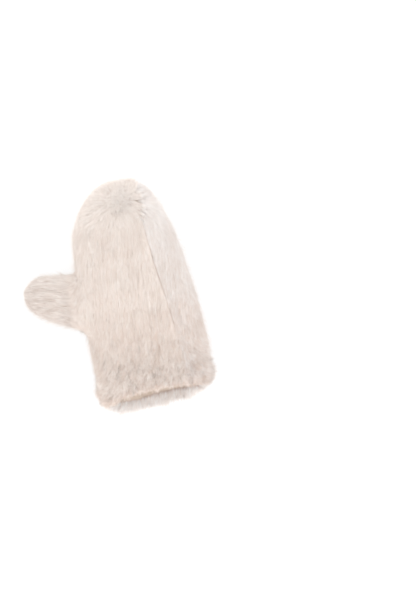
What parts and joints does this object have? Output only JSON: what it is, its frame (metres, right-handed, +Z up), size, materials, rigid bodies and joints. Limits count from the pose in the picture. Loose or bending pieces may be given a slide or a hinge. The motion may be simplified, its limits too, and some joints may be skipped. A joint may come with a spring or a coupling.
{
  "type": "fur mitten",
  "caption": "Long-pile fur mitten lying on its palm, with a sewn back and palm panel, a thumb stall set into the side, and a hollow open at the cuff.",
  "frame": {"origin": "middle of the base of the whole mitten, on the surface that it lies on", "axes": "+Y from the cuff to the fingertips, +Z up through the back of the hand, -X towards the thumb"},
  "size_m": [0.196, 0.2584, 0.0486],
  "materials": {
    "back_fur": "long soft pile, off-white with a faint pink tint, combed towards the cuff",
    "palm_fur": "long soft pile, off-white with darker beige undercoat showing in patches",
    "thumb_fur": "long soft pile, off-white, combed along the thumb",
    "backing": "soft matt hide, the inner face of the fur and the sewn seam edges"
  },
  "bodies": {
    "root": {"back_panel": "back_fur", "palm_panel": "palm_fur", "thumb": "thumb_fur"}
  },
  "joints": []
}
